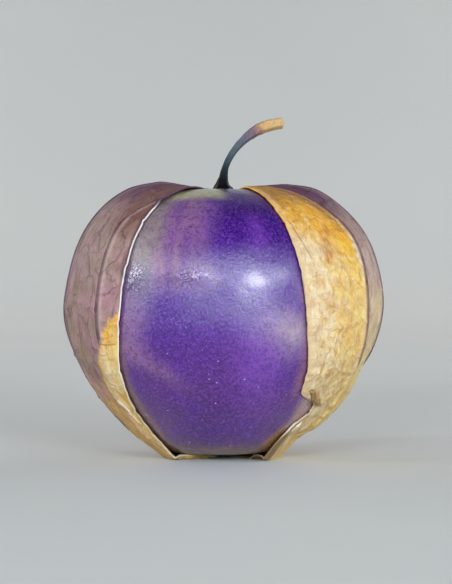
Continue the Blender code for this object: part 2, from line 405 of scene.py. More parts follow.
def join_rows(bm, rows):
    """Faces between each row of vertices and the next."""
    for first, second in zip(rows, rows[1:]):
        for k in range(len(first) - 1):
            bm.faces.new((first[k], first[k + 1], second[k + 1], second[k]))


class Graph:
    """A material's nodes, written as calls. Each call returns the socket that holds its result."""

    def __init__(self, name):
        self.material = bpy.data.materials.new(name)
        self.material.use_nodes = True
        self.tree = self.material.node_tree
        self.tree.nodes.clear()

    def put(self, socket, value):
        if isinstance(value, bpy.types.NodeSocket):
            self.tree.links.new(value, socket)
        elif isinstance(value, tuple) and len(value) == 3 and socket.type == "RGBA":
            socket.default_value = (*value, 1.0)
        else:
            socket.default_value = value

    def made(self, kind, output, inputs={}, **settings):
        """A new node's output. Each input is set to its value, or linked if that is a socket."""
        node = self.tree.nodes.new("ShaderNode" + kind)
        for key, value in settings.items():
            setattr(node, key, value)
        for key, value in inputs.items():
            self.put(node.inputs[key], value)
        return node.outputs[output]

    def attribute(self, name, output="Fac"):
        return self.made("Attribute", output, attribute_name=name)

    def object_mm(self):
        """Object coordinates in millimetres."""
        return self.scaled(self.made("TexCoord", "Object"), 1000, 1000, 1000)

    def math(self, operation, a, b=0.0):
        return self.made("Math", 0, {0: a, 1: b}, operation=operation)

    def times(self, a, b):
        return self.math("MULTIPLY", a, b)

    def larger(self, a, b):
        return self.math("MAXIMUM", a, b)

    def total(self, *weighted):
        """Sum of (socket, weight) pairs."""
        parts = [self.times(socket, weight) for socket, weight in weighted]
        result = parts[0]
        for part in parts[1:]:
            result = self.math("ADD", result, part)
        return result

    def vector(self, operation, a, b):
        return self.made("VectorMath", 0, {0: a, 1: b}, operation=operation)

    def scaled(self, vector, *scales):
        return self.vector("MULTIPLY", vector, scales)

    def shaken(self, vector, scale, *reach):
        """The vector moved by up to half the reach along each axis."""
        shake = self.vector("SUBTRACT", self.noise(vector, scale, 3, 0.6, "Color"), (0.5, 0.5, 0.5))
        return self.vector("ADD", vector, self.scaled(shake, *reach))

    def noise(self, vector, scale=1.0, detail=2.0, roughness=0.5, output="Fac"):
        inputs = {"Vector": vector, "Scale": scale, "Detail": detail, "Roughness": roughness}
        return self.made("TexNoise", output, inputs)

    def cells(self, vector, feature="DISTANCE_TO_EDGE", scale=1.0, output="Distance", flat=False):
        inputs = {"Vector": vector, "Scale": scale}
        size = "2D" if flat else "3D"
        return self.made("TexVoronoi", output, inputs, feature=feature, voronoi_dimensions=size)

    def range(self, value, low, high, start=0.0, end=1.0):
        inputs = {"Value": value, "From Min": low, "From Max": high, "To Min": start, "To Max": end}
        return self.made("MapRange", "Result", inputs, interpolation_type="SMOOTHSTEP")

    def mix(self, share, a, b, blend="MIX"):
        """Of a Mix node's sockets, inputs 6 and 7 and output 2 are the colours."""
        return self.made("Mix", 2, {0: share, 6: a, 7: b}, data_type="RGBA", blend_type=blend)

    def tinted(self, share, colour, factors):
        """The colour with a share of it multiplied by the factors."""
        return self.mix(share, colour, self.mix(1.0, colour, factors, "MULTIPLY"))

    def stained(self, colour, *stains):
        """The colour tinted by each (pattern, low, high, share at low, share at high, factors) in turn."""
        for pattern, low, high, start, end, factors in stains:
            colour = self.tinted(self.range(pattern, low, high, start, end), colour, factors)
        return colour

    def bump(self, height, distance, strength=1.0):
        return self.made("Bump", "Normal", {"Distance": distance, "Strength": strength, "Height": height})

    def surface(self, **inputs):
        return self.made("BsdfPrincipled", 0, {key.replace("_", " "): value for key, value in inputs.items()})

    def finish(self, shader):
        self.tree.links.new(shader, self.tree.nodes.new("ShaderNodeOutputMaterial").inputs["Surface"])
        return self.material


# Husk: its colours

MAUVE = srgb(165, 136, 135)
OLIVE_GREY = srgb(160, 136, 118)
ROSE = srgb(190, 144, 154)
PLUM = srgb(104, 62, 96)
STRAW = srgb(226, 210, 166)
CREAM = srgb(243, 222, 182)
YELLOW_CREAM = srgb(240, 208, 132)
SHADED_STRAW = srgb(180, 156, 112)
GOLD = srgb(246, 186, 50)
BRIGHT_GOLD = srgb(246, 204, 82)
GOLD_STRAW = mix(BRIGHT_GOLD, STRAW, 0.5)
OCHRE = srgb(240, 180, 68)
LEAF = srgb(232, 220, 160)
ASH = srgb(224, 208, 190)
RUST = srgb(190, 112, 38)
# Partly painted highlight where the left torn edge catches the light.
WHITE = srgb(255, 245, 240)
BARK = srgb(140, 92, 70)
# Painted shade: the olive-brown of the paper's shaded inner side, low beside the right torn edge.
OLIVE_SHADE = srgb(134, 104, 56)
BROWN_MAUVE = srgb(150, 118, 110)
FOOT_STRAW = srgb(220, 182, 104)
DRY_ROSE = srgb(196, 170, 158)
PALE_EDGE = srgb(236, 208, 180)
# Edge of the yellow paper left of the window: (height in mm, azimuth).
YELLOW_LIMIT = ((4.0, -56), (6.2, -53), (8.9, -54), (11.2, -56.5), (13.1, -56), (15.0, -54.2), (18.5, -50.5),
                (20.7, -48), (22.2, -45), (23.8, -41), (26.0, -36))
# Brown spots at the top of the panel right of the window: share, height, and how far they reach each way.
RUST_SPOTS = ((0.60, 35.5, 0.07, 0.9), (0.52, 33.9, 0.06, 1.1),
              (0.47, 32.5, 0.08, 0.9), (0.44, 31.2, 0.04, 0.8))


def cloud(azimuth, z, size, seed=0.0):
    """Smooth noise over the husk, about -0.6 to 0.6, with patches of a size in mm."""
    turn = math.radians(azimuth)
    radius = 22 / size
    return ripple(radius * math.sin(turn) + seed, radius * math.cos(turn), z / size)


def mauve_panel(degrees, z):
    """(colour, how pale it is). In all the tints z is the height, and lengths are in mm."""
    wide = cloud(degrees, z, 7.0)
    small = cloud(degrees, z, 2.4, 5.0)
    straw = between(16, 5, z + 5 * wide + 2 * small)
    return layered(
        mix(MAUVE, OLIVE_GREY, 0.5 + 1.3 * wide),
        (ROSE, 0.6, (0.05, 0.45, small)),
        (PLUM, 0.28, (0.15, 0.5, -small)),
        (mix(ROSE, SHADED_STRAW, 0.75 + 1.6 * small), straw * 0.9),
        (BROWN_MAUVE, 0.45, (29, 36, z + 3 * wide)),
        (PLUM, 0.8, (37.5, 41.6, z + 2 * wide)),
    ), straw


def torn_side_panel(share, from_rib, z):
    """The panel right of the window: gold at the top and along its rib, cream elsewhere."""
    small = cloud(50 * share, z, 1.8, 2.0)
    reach = 1.3 + 2.6 * between(26, 32, z) + 4 * between(31, 36, z) + 12 * between(33.5, 40.5, z)
    gold = between(1.9, 0.1, (from_rib + 1.6 * small) / reach) * between(23, 34, z + 3 * small)
    rust = max(bump(share, s, w) * bump(z, middle, h) for s, middle, w, h in RUST_SPOTS)
    rust += 0.9 * cloud(80 * share, z, 0.8, 2.0)
    return layered(
        mix(CREAM, YELLOW_CREAM, between(0.15, 0.62, share + 0.5 * small)),
        (STRAW, 0.7, (20, 10, z + 3 * small)),
        (YELLOW_CREAM, 0.6, (34, 37, z + 2 * small)),
        (ROSE, 0.12, (0.1, 0.5, small)),
        (mix(BRIGHT_GOLD, GOLD, between(30, 36, z + 3 * small)), gold),
        (GOLD_STRAW, 0.85, (2.2, 0.4, from_rib), (14, 11, z)),
        (BARK, 0.6, (3.4, 0.8, from_rib), (34.5, 37.5, z)),
        (BARK, 0.55, (38.6, 40.6, z + small)),
        (ASH, between(0.95, 0.55, from_rib + 0.3 * small) * bump(z, 32.5, 3.2) * 0.85),
        (RUST, 0.65, (0.25, 0.85, rust)),
    ), 1 - 0.15 * gold


def far_side_panel(from_rib, degrees, z):
    """The next panel: ashen beside the rib, mauve higher up and the green of a dry leaf lower down."""
    tint, straw = mauve_panel(degrees, z)
    small = cloud(degrees, z, 2.4, 5.0)
    wide = cloud(degrees, z, 7.0)
    green = between(30, 15, z + 4 * small + 6 * wide)
    return layered(
        tint,
        (DRY_ROSE, 0.8, (38.5, 33, z)),
        (BROWN_MAUVE, 0.6, (31, 36, z + small)),
        (PLUM, 0.85, (37.0, 40.2, z + small)),
        (mix(STRAW, LEAF, between(24, 14, z + 4 * wide) * 0.8), green),
        (GOLD_STRAW, 0.85, (8.0, 2.0, from_rib), (16, 11, z)),
    ), max(green, straw)


def window_side(degrees, z):
    """(how yellow it is left of the window, mm inside the yellow part)."""
    shake = 1.6 * cloud(degrees, z, 1.6, 9.0) + 1.2 * cloud(degrees, z, 0.7, 4.0)
    limit = np.interp(z, *zip(*YELLOW_LIMIT))
    inside = (degrees - float(limit) + shake) * ARC_PER_DEGREE
    return between(-0.2, 0.35, inside), inside


def near_window(tint, pale, degrees, z):
    """The left panels' front: brown at the top, rosy below, and yellow beside the window."""
    small = cloud(degrees, z, 2.0, 3.0)
    near = between(-66, -50, degrees)
    yellow, inside = window_side(degrees, z)
    own = layered(
        mix(YELLOW_CREAM, STRAW, between(18, 12, z + 4 * small) * 0.6),
        (OCHRE, 0.65 * bump(inside, 0.3, 0.8) * between(8, 14, z)),
        (GOLD, 0.40, (16, 22, z)),
        (FOOT_STRAW, 0.85, (13, 7, z + 3 * small)),
    )
    foot = between(13, 8, z + 4 * small) * between(-90, -74, degrees)
    return layered(
        tint,
        (mix(OLIVE_GREY, BARK, 0.4), near * between(30, 35, z) * 0.4),
        (DRY_ROSE, near * bump(z, 32, 3.5) * (0.5 + small)),
        (mix(BARK, PLUM, 0.3), near * between(34.5, 37.5, z) * 0.75),
        (ROSE, near * bump(z, 21, 8) * (0.55 + small)),
        (own, yellow),
        (FOOT_STRAW, foot * 0.85),
    ), max(pale, yellow, foot)


def husk_tint(line, share, from_left, from_right, azimuth, z):
    """(colour, how pale it is): the second picks light raised veins over dark ones."""
    degrees = (azimuth + 180) % 360 - 180
    if line == 0:
        tint, pale = torn_side_panel(share, from_right, z)
        # Painted shade low beside the torn edge.
        foot = between(2.1, 1.1, from_left) * between(5.8, 4.2, z)
        return mix(tint, OLIVE_SHADE, foot * 0.85), pale
    if line == 1:
        tint, pale = far_side_panel(from_left, degrees, z)
        return mix(tint, PLUM, between(1.8, 0.4, from_right) * 0.5), pale
    tint, pale = mauve_panel(degrees, z)
    if line >= LAST - 2:
        outer_rib = {LAST - 2: from_right, LAST - 1: from_left}.get(line, 9.0)
        tint = mix(tint, PLUM, between(2.0, 0.4, outer_rib) * 0.6)
    if line >= LAST - 1 and degrees > -88:
        return near_window(tint, pale, degrees, z)
    return tint, pale


def edge_tint(line, z, place):
    """Colour of the thin torn edge. On the left its white is partly the pale torn fibre and partly painted
    highlight where the edge catches the light.
    """
    if line >= LAST - 1:
        # Partly painted highlight: the left torn edge catching the light.
        white = mix(PLUM, WHITE, between(40.2, 38.6, z))
        return mix(white, mix(WHITE, STRAW, 0.85), between(15, 9, z))
    if line == 0:
        return layered(
            mix(BARK, PALE_EDGE, 0.85),
            (OCHRE, between(33, 37, z)),
            # Painted shade on the edge low down.
            (OLIVE_SHADE, between(5.8, 4.2, z) * 0.7),
            (WHITE, bump(place, 2.73, 0.05) * 0.8),
        )
    return OCHRE


# Husk: its sheet

def husk_grid():
    columns = []
    for line in range(LAST + 1):
        span = (*RIBS, LEFT_EDGE[2])[line] - (RIGHT_EDGE[2], *RIBS)[line]
        count = math.ceil(span * ARC_PER_DEGREE * MM / FINE_STEPS.get(line, BACK_STEP))
        columns += [(line, k / count) for k in range(count)]
    columns.append((LAST, 1.0))
    return columns, stepped(FINE_ROWS)


def laid_sheet():
    """The husk's sheet as a fine, smooth grid, with arrays that say where each point lies."""
    columns, rows = husk_grid()
    s = SimpleNamespace(wide=len(columns), high=len(rows), count=len(columns) * len(rows))
    s.lines = np.tile([line for line, _ in columns], s.high)
    s.shares = np.tile([share for _, share in columns], s.high)
    s.places = np.repeat(rows, s.wide)
    s.points = np.zeros((s.count, 3))
    s.azimuths = np.zeros(s.count)
    for index, spot in enumerate(zip(s.lines.tolist(), s.shares.tolist(), s.places.tolist())):
        s.points[index], s.azimuths[index] = husk_point(*spot)
    s.degrees = (s.azimuths + 180) % 360 - 180
    s.heights = s.points[:, 2] / MM
    walked = np.zeros((s.high, s.wide))
    steps = np.diff(s.points.reshape(s.high, s.wide, 3), axis=0)
    walked[1:] = np.cumsum(np.linalg.norm(steps, axis=2), 0)
    s.walked = walked.ravel() / MM
    return s


def rib_distances(s):
    """Distances to the ribs before and after, and how far past the last rib, which bends, a point is."""
    before = s.shares * s.widths
    after = (1 - s.shares) * s.widths
    past_last = np.full(s.count, -99 * MM)
    for index in np.nonzero(s.lines >= LAST - 1)[0]:
        place = s.places[index]
        bend = LEFT_RIB_BEND * (1 - ease((place - 1.2) / 0.35))
        if s.lines[index] == LAST:
            full = main_line(LAST + 1, place) - main_line(LAST, place)
            past_last[index] = (s.shares[index] - bend / full) * s.widths[index]
            before[index] = abs(past_last[index])
        else:
            own = main_line(LAST, place) - main_line(LAST - 1, place)
            after[index] += bend / own * s.widths[index]
            past_last[index] = -after[index]
    return before, after, past_last


def measure_sheet(s):
    """Adds how far each point is from the ribs, the net and the torn edges, in metres."""
    radii = np.hypot(s.points[:, 0], s.points[:, 1])
    s.widths = np.zeros(s.count)
    s.net = np.full(s.count, FAR)
    for line in range(LAST + 1):
        mine = s.lines == line
        places = s.places[mine]
        span = np.radians([main_line(line + 1, p) - main_line(line, p) for p in places])
        s.widths[mine] = np.maximum(span * radii[mine], LEAST_WIDTH)
        s.net[mine] = distance_to_net(line, s.shares[mine], places, s.widths[mine], STRETCH_LENGTH)
    s.from_left, s.from_right, s.past_last = rib_distances(s)
    right, left = s.lines == 0, s.lines == LAST
    s.torn = np.where(right, s.shares * s.widths, np.where(left, (1 - s.shares) * s.widths, FAR))
    s.rib = np.minimum(np.where(right, FAR, s.from_left), np.where(left, FAR, s.from_right))


def crease_offsets(s, creases):
    """(offset to the side of the nearest crease, how much of it there is) in mm on the unrolled husk."""
    xs, ys = s.degrees * ARC_PER_DEGREE, s.heights
    nearest = np.full(s.count, 99.0)
    offset, amount = np.full(s.count, 99.0), np.zeros(s.count)
    for crease in creases:
        corners = [(azimuth * ARC_PER_DEGREE, height) for azimuth, height in crease]
        for number, ((x0, y0), (x1, y1)) in enumerate(zip(corners, corners[1:])):
            dx, dy = x1 - x0, y1 - y0
            length = math.hypot(dx, dy)
            t = ((xs - x0) * dx + (ys - y0) * dy) / length
            side = ((xs - x0) * dy - (ys - y0) * dx) / length
            inner = np.clip(t, 0, length)
            away = np.hypot(xs - x0 - inner * dx / length, ys - y0 - inner * dy / length)
            past = np.maximum(-t if number == 0 else 0, t - length if number == len(corners) - 2 else 0)
            closer = away < nearest
            nearest[closer] = away[closer]
            offset[closer] = side[closer]
            amount[closer] = (np.clip(1 - past / 0.5, 0, 1) * np.clip(3 - np.abs(side), 0, 1))[closer]
    return offset, amount


def grown(low, high, values):
    return np.array([between(low, high, value) for value in values])


def sheet_relief(s):
    """How far the ribs, the net and the crumpled paper raise each point, in metres."""
    fade = np.array([ease((3.0 - p) / 0.35) * min(1.0, 0.3 + 0.45 * p) for p in s.places])
    rib_ridge = np.clip(1 - s.rib / RIB_SPREAD, 0, 1) ** 1.4
    left = s.lines >= LAST - 1
    rib_ridge[left] *= 0.3 + 0.7 * grown(14, 24, s.heights[left])
    net_ridge = np.clip(1 - s.net / VEIN_SPREAD, 0, 1) ** 1.3
    relief = fade * (RIB_HEIGHT * rib_ridge + (1 - rib_ridge) * 0.8 * VEIN_HEIGHT * net_ridge)
    crumple = 1 + 1.6 * grown(13, 4, s.heights)
    quilt = np.zeros(s.count)
    for index, (x, y) in enumerate(zip(s.azimuths * ARC_PER_DEGREE, s.walked * 0.6)):
        quilt[index] = ripple(x / 2.6, y / 2.6, 0) + 0.6 * ripple(x / 1.2, y / 1.2, 9)
    flat = (1 - rib_ridge) * np.minimum(1.0, s.torn / MM + 0.2)
    relief += fade * QUILT_HEIGHT * crumple * quilt * flat
    return relief - fade * EDGE_TUCK * np.clip(1 - s.torn / TUCK_WIDTH, 0, 1) ** 2


def crease_relief(light, dark):
    ridge = light[1] * np.clip(1 - np.abs(light[0]) / 0.6, 0, 1)
    groove = dark[1] * np.clip(1 - np.abs(dark[0]) / 0.5, 0, 1)
    return RIDGE_HEIGHT * ridge - GROOVE_DEPTH * groove


def sheet_mesh(s, relief):
    """(mesh, tree of its faces) of the grid, raised by its relief and turned up at the lip."""
    bm = bmesh.new()
    verts = [bm.verts.new(p) for p in s.points]
    for row in range(s.high - 1):
        for start in range(row * s.wide, (row + 1) * s.wide - 1):
            bm.faces.new([verts[c] for c in (start, start + s.wide, start + s.wide + 1, start + 1)])
    bm.normal_update()
    for vertex, height, torn, place in zip(verts, relief.tolist(), s.torn, s.places):
        vertex.co += vertex.normal * height
        if place > LIP_PLACE:
            near = 1 - min(1.0, torn / LIP_WIDTH)
            lip = between(LIP_PLACE, 3.1, place) * between(4.0, 3.6, place)
            vertex.co.z += LIP_HEIGHT * near * near * lip
        vertex.co.z = max(vertex.co.z, 0.0)
    skin = BVHTree.FromBMesh(bm)
    return finished_mesh(bm, "husk_paper"), skin


def paint_sheet(mesh, s, light, dark):
    """Writes what the paper's material reads: tints, and distances in mm."""
    tints, edges = np.ones((2, s.count, 4))
    pales = np.zeros(s.count)
    spots = zip(s.lines.tolist(), s.shares, s.from_left / MM, s.from_right / MM, s.azimuths, s.heights)
    for index, spot in enumerate(spots):
        tints[index, :3], pales[index] = husk_tint(*spot)
        edges[index, :3] = edge_tint(spot[0], spot[-1], s.places[index])
    across = s.azimuths * ARC_PER_DEGREE
    slanted = s.walked + 0.6 * np.minimum(s.rib / MM, 6.0)
    dark_rib = np.where(s.lines >= LAST - 1, np.where(s.lines == LAST - 1, s.from_left, FAR), s.rib) / MM
    low_right = (s.lines == 0) | ((s.lines == 1) & (s.shares < 0.5))
    dark_rib += 0.5 * low_right * grown(16.5, 13.0, s.heights)
    write_attributes(
        mesh, sheet=np.stack([across, slanted, 0 * across], -1), tint=tints, edge=edges, pale=pales,
        rib=dark_rib, last_rib=s.past_last / MM, net=s.net / MM, torn=s.torn / MM,
        light_crease=light[0], light_amount=light[1], dark_crease=dark[0], dark_amount=dark[1],
        # Painted shadow: a dark line beside the left torn edge, high up.
        seam=(s.lines == LAST) * grown(25, 31, s.heights), border=(s.lines == 0) * grown(6, 10, s.heights),
    )


# Husk: its paper

def paper_lines(g, sheet, pale):
    """How strongly veins, folds, the raised net and the ribs show."""
    warped = g.shaken(g.shaken(sheet, 0.30, 3.4, 4.2, 0), 1.5, 0.5, 0.5, 0)
    sizes = ((3.6, 5.2), (2.3, 3.6), (1.35, 1.75))
    coarse, middling, fine = (g.cells(g.scaled(warped, 1 / w, 1 / h, 0), flat=True) for w, h in sizes)
    strength = g.range(g.noise(sheet, 0.42), 0.36, 0.58, 0.35, 1.0)
    lines = SimpleNamespace(
        vein=g.times(g.range(coarse, 0.045, 0.014), strength),
        vein_side=g.range(coarse, 0.10, 0.04),
        small_vein=g.range(fine, 0.11, 0.02),
        fold=g.times(g.range(middling, 0.075, 0.02), g.range(g.noise(sheet, 0.5), 0.40, 0.56)),
        fold_side=g.range(middling, 0.24, 0.06),
        net_side=g.range(g.attribute("net"), 0.62, 0.28),
    )
    lines.core = g.larger(lines.vein, g.times(g.range(g.attribute("net"), 0.32, 0.08), 0.5))
    lines.flank = g.larger(g.times(lines.vein_side, strength), g.times(lines.net_side, 0.5))
    lines.flank = g.larger(lines.flank, g.times(lines.small_vein, 0.45))
    last_rib = g.math("ABSOLUTE", g.attribute("last_rib"))
    fading = g.math("SUBTRACT", 1.0, g.times(pale, 0.9))
    last_line = g.times(g.range(last_rib, 0.42, 0.12, 0, 0.95), fading)
    lines.rib = g.larger(g.range(g.attribute("rib"), 0.38, 0.17), last_line)
    lines.rib_side = g.range(g.math("MINIMUM", g.attribute("rib"), last_rib), 0.95, 0.35)
    return lines


def paper_tone(g, blotch, patch, fibre, grain):
    return g.stained(
        g.attribute("tint", "Color"),
        (blotch, 0.42, 0.64, 0, 0.85, (0.84, 0.75, 0.75)),
        (patch, 0.50, 0.66, 0, 0.9, (1.14, 1.11, 1.07)),
        (patch, 0.48, 0.36, 0, 0.6, (0.84, 0.76, 0.77)),
        (fibre, 0.42, 0.66, 0.16, 0, (0.78, 0.74, 0.74)),
        (grain, 0.34, 0.66, 0.4, 0, (0.74, 0.68, 0.68)),
    )


def lined_colour(g, colour, lines, pale, blotch, patch):
    """Draws dark lines on mauve paper, and brown and light ones on pale paper. The brown ones are partly the
    veins' own colour and partly painted shade beside the raised veins and along the folds.
    """
    dark_line = g.mix(1.0, colour, (0.30, 0.15, 0.26), "MULTIPLY")
    brown_vein_and_shade = g.mix(1.0, colour, (0.86, 0.60, 0.34), "MULTIPLY")
    on_pale = colour
    # Brown lines: partly vein colour, partly painted shade beside the veins and along the folds.
    for line, share in ((lines.flank, 0.15), (lines.fold_side, 0.16), (lines.fold, 0.62)):
        on_pale = g.mix(g.times(line, share), on_pale, brown_vein_and_shade)
    light_core = g.times(lines.core, g.range(patch, 0.44, 0.60, 0.1, 0.5))
    on_pale = g.mix(light_core, on_pale, srgb(250, 232, 192))
    dark = g.larger(g.times(lines.core, 0.62), g.times(lines.small_vein, 0.13))
    dark = g.larger(dark, g.times(lines.flank, 0.18))
    colour = g.mix(pale, g.mix(dark, colour, dark_line), on_pale)
    colour = g.mix(g.times(lines.rib_side, 0.22), colour, srgb(214, 196, 186))
    rib_colour = g.mix(g.times(pale, 0.25), srgb(72, 32, 56), srgb(184, 132, 90))
    return g.mix(g.times(lines.rib, g.range(blotch, 0.3, 0.6, 0.95, 0.7)), colour, rib_colour)


def edged_colour(g, colour):
    """Draws the creases, with painted shade in the dark ones, a painted shadow beside the left torn edge high
    up, a pale band beside the right one, and the edges themselves.
    """
    # The dark crease tone is painted shade in the folds.
    for name, most, tone in (("light", 0.75, srgb(250, 240, 222)), ("dark", 0.5, srgb(132, 88, 60))):
        line = g.range(g.math("ABSOLUTE", g.attribute(name + "_crease")), 0.19, 0.07, 0, most)
        colour = g.mix(g.times(line, g.attribute(name + "_amount")), colour, tone)
    torn = g.attribute("torn")
    # The first tone is a painted shadow beside the left torn edge.
    tones = (("seam", 0.75, 0.35, 0.8, srgb(84, 48, 66)), ("border", 0.9, 0.6, 0.6, srgb(226, 190, 142)))
    for name, start, full, share, tone in tones:
        amount = g.times(g.attribute(name), g.range(torn, start, full))
        colour = g.mix(g.times(amount, share), colour, tone)
    return g.mix(g.range(torn, 0.20, 0.08), colour, g.attribute("edge", "Color"))


def paper_material(name, rim=False):
    """Dry paper that lets a little light through, or the rim of its torn edges."""
    g = Graph(name)
    sheet = g.attribute("sheet", "Vector")
    pale = g.attribute("pale")
    blotch = g.noise(sheet, 0.35, 4, 0.62)
    patch = g.noise(sheet, 1.1, 4, 0.65)
    fibre = g.noise(g.scaled(sheet, 3.0, 0.5, 1), 1.0, 3, 0.6)
    grain = g.noise(sheet, 5.5, 3, 0.65)
    lines = paper_lines(g, sheet, pale)
    if rim:
        colour = g.stained(g.attribute("edge", "Color"), (grain, 0.35, 0.65, 0.5, 0, (0.78, 0.74, 0.72)))
    else:
        tone = paper_tone(g, blotch, patch, fibre, grain)
        colour = edged_colour(g, lined_colour(g, tone, lines, pale, blotch, patch))
    height = g.total(
        (lines.vein_side, 0.45), (lines.vein, 0.30), (lines.net_side, 0.12), (lines.small_vein, -0.28),
        (patch, 0.9), (grain, 0.2), (g.times(lines.fold_side, pale), 0.8), (fibre, 0.12),
    )
    normal = g.bump(height, 0.16 * MM, 0.85)
    rough = g.range(patch, 0.3, 0.7, 0.48, 0.66)
    paper = g.surface(Base_Color=colour, Roughness=rough, Normal=normal, Specular_IOR_Level=0.22)
    glow = g.made("BsdfTranslucent", 0, {"Color": colour, "Normal": normal})
    return g.finish(g.made("MixShader", 0, {0: 0.16, 1: paper, 2: glow}))


def make_husk():
    """Returns the tree of the husk's faces, which the fruit's skin stays inside."""
    s = laid_sheet()
    measure_sheet(s)
    light = crease_offsets(s, LIGHT_CREASES)
    dark = crease_offsets(s, SHADED_CREASES)
    mesh, skin = sheet_mesh(s, sheet_relief(s) + crease_relief(light, dark))
    paint_sheet(mesh, s, light, dark)
    husk = new_object("husk_paper", mesh, "husk")
    mesh.materials.append(paper_material("husk_paper"))
    mesh.materials.append(paper_material("husk_torn_edge", rim=True))
    wall = husk.modifiers.new("paper", "SOLIDIFY")
    wall.thickness = PAPER
    wall.offset = -1.0
    wall.use_even_offset = False
    wall.material_offset_rim = 1
    return skin


# Husk: two scraps of torn paper

def scrap_end(line, share, place, lift):
    point = husk_point(line, share, place)[0]
    return point + (point - FRUIT_MIDDLE).normalized() * lift * MM


def scrap_mesh(name, ends, radius, turns):
    """Paper rolled about the line between two ends, and narrower at them."""
    start, end = ends
    along = (end - start).normalized()
    outward = ((start + end) / 2 - FRUIT_MIDDLE).normalized()
    across = outward.cross(along).normalized()
    length, around = 18, 14
    bm = bmesh.new()
    grid = []
    for share in (step / length for step in range(length + 1)):
        middle = start.lerp(end, share) + across * 0.25 * radius * math.sin(9 * share)
        row = []
        for turn in (k / around for k in range(around + 1)):
            angle = math.radians(turns[0] + (turns[1] - turns[0]) * turn)
            reach = radius * (0.35 + 0.65 * math.sin(math.pi * share) ** 0.5) * (1 - 0.3 * turn)
            reach *= 1 + 0.35 * ripple(3 * share, 2 * turn, radius / MM * 7)
            row.append(bm.verts.new(middle + (across * math.cos(angle) + outward * math.sin(angle)) * reach))
        grid.append(row)
    join_rows(bm, grid)
    return finished_mesh(bm, name)


def scrap_material(name, tones):
    g = Graph(name)
    place = g.object_mm()
    patch = g.noise(place, 1.6, 4, 0.65)
    fibre = g.noise(g.scaled(place, 4, 4, 1.2), 1.0, 3, 0.6)
    tone = g.mix(g.range(patch, 0.35, 0.65), *tones)
    colour = g.stained(tone, (fibre, 0.4, 0.65, 0.6, 0, (0.7, 0.62, 0.55)))
    normal = g.bump(g.total((patch, 1.0), (fibre, 0.6)), 0.15 * MM, 0.8)
    rough = g.range(fibre, 0.3, 0.7, 0.45, 0.65)
    return g.finish(g.surface(Base_Color=colour, Roughness=rough, Normal=normal))


def make_scrap(name, start, end, radius, turns, tones):
    """A rolled-up scrap between two places on the sheet. Each is (panel, share, place, lift in mm)."""
    mesh = scrap_mesh(name, (scrap_end(*start), scrap_end(*end)), radius, turns)
    mesh.materials.append(scrap_material(name, tones))
    sheet = new_object(name, mesh, "husk").modifiers.new("paper", "SOLIDIFY")
    sheet.thickness = 0.5 * PAPER
    sheet.offset = 0.0


def make_scraps():
    make_scrap("husk_curl", (0, 0.16, 2.44, 0.1), (0, 0.16, 2.535, 0.15), 0.55 * MM, (-20, 235),
               (srgb(184, 152, 96), srgb(128, 98, 54)))
    make_scrap("husk_flake", (0, 0.02, 2.655, 0.1), (0, 0.12, 2.735, 0.1), 0.28 * MM, (10, 165),
               (srgb(240, 232, 214), srgb(196, 178, 144)))


# Fruit

VIOLET = srgb(66, 0, 124)
# Painted reflection: the window's light streaking down the skin above and below the highlight.
REFLECTION_VIOLET = srgb(114, 58, 164)
INDIGO = srgb(52, 0, 108)
DARK_INDIGO = srgb(30, 4, 64)
RED_VIOLET = srgb(76, 14, 104)
# Painted floor-bounce light: greyer and browner at the bottom of the skin.
FLOOR_BOUNCE_VIOLET = srgb(84, 54, 80)
LILAC = srgb(166, 146, 158)
MAUVE_SKIN = srgb(138, 98, 122)
MILKY_VIOLET = srgb(128, 70, 190)
GREY_SKIN = srgb(130, 115, 111)
# Painted reflection of the sky, bluing the lower grey skin at the left highlight.
SKY_REFLECTION_GREY = srgb(118, 102, 132)
GREEN_SKIN = srgb(168, 164, 106)
# Painted reflected light: the brown that the husk and the floor throw on the skin's edge.
BOUNCE_BROWN = srgb(126, 96, 80)
# Painted reflected light from the gold paper on the skin beside the right torn edge.
BOUNCE_ROSE_BROWN = srgb(150, 104, 96)
# These two are painted reflected light from the olive paper low beside the right torn edge.
OLIVE_BOUNCE = srgb(148, 108, 42)
ROSE_GREY_BOUNCE = srgb(166, 136, 124)


def violet_skin(a, z, flush, jitter):
    """The ripe skin: indigo high on the right and redder lower down, with a painted reflection streak right
    of the middle and painted floor-bounce light at the bottom.
    """
    up = z + 0.3 * jitter
    return layered(
        VIOLET,
        (INDIGO, 1, (27, 35, up), (-12, 4, a + 0.5 * jitter)),
        (RED_VIOLET, 0.85, (25, 11, up)),
        # Painted reflection streak below the highlight.
        (REFLECTION_VIOLET, 0.75 * bump(a + 0.6 * jitter, 15, 12) * bump(z + 0.4 * jitter, 16, 8)),
        (VIOLET, 0.5, (0.1, 0.5, flush)),
        # Painted floor-bounce light at the bottom.
        (FLOOR_BOUNCE_VIOLET, between(5.5, 1.0, z)),
        (DARK_INDIGO, 0.6, (36.5, 39.5, z + 0.2 * jitter), (-6, 5, a)),
    )


def high_patches(tint, a, z, jitter):
    """(colour, film): a mauve veil and grey on the left, bluer low down as a painted reflection of the sky,
    and a painted reflection streak on the right.
    """
    streak = ripple(a / 3.2, z / 9.0, 4.0)
    veil = between(4, -16, a + 0.8 * jitter + 7 * streak) * between(24, 31, z)
    veil *= between(43, 40, z)
    # Painted reflection streak above the highlight.
    reflected_streak = bump(a + 0.2 * jitter, 15, 3.5) * between(31, 34, z) * between(39, 36, z)
    grey = between(-23, -32, a + 0.5 * jitter + 3 * streak) * between(21, 29, z)
    return layered(
        tint,
        (MAUVE_SKIN, veil * (0.75 + 0.7 * streak)),
        (REFLECTION_VIOLET, 0.6 * reflected_streak),
        # The grey turns bluer low down: painted reflection of the sky.
        (mix(GREY_SKIN, SKY_REFLECTION_GREY, between(32, 28, z)), grey * 0.9),
    ), max(grey, 0.2 * veil)


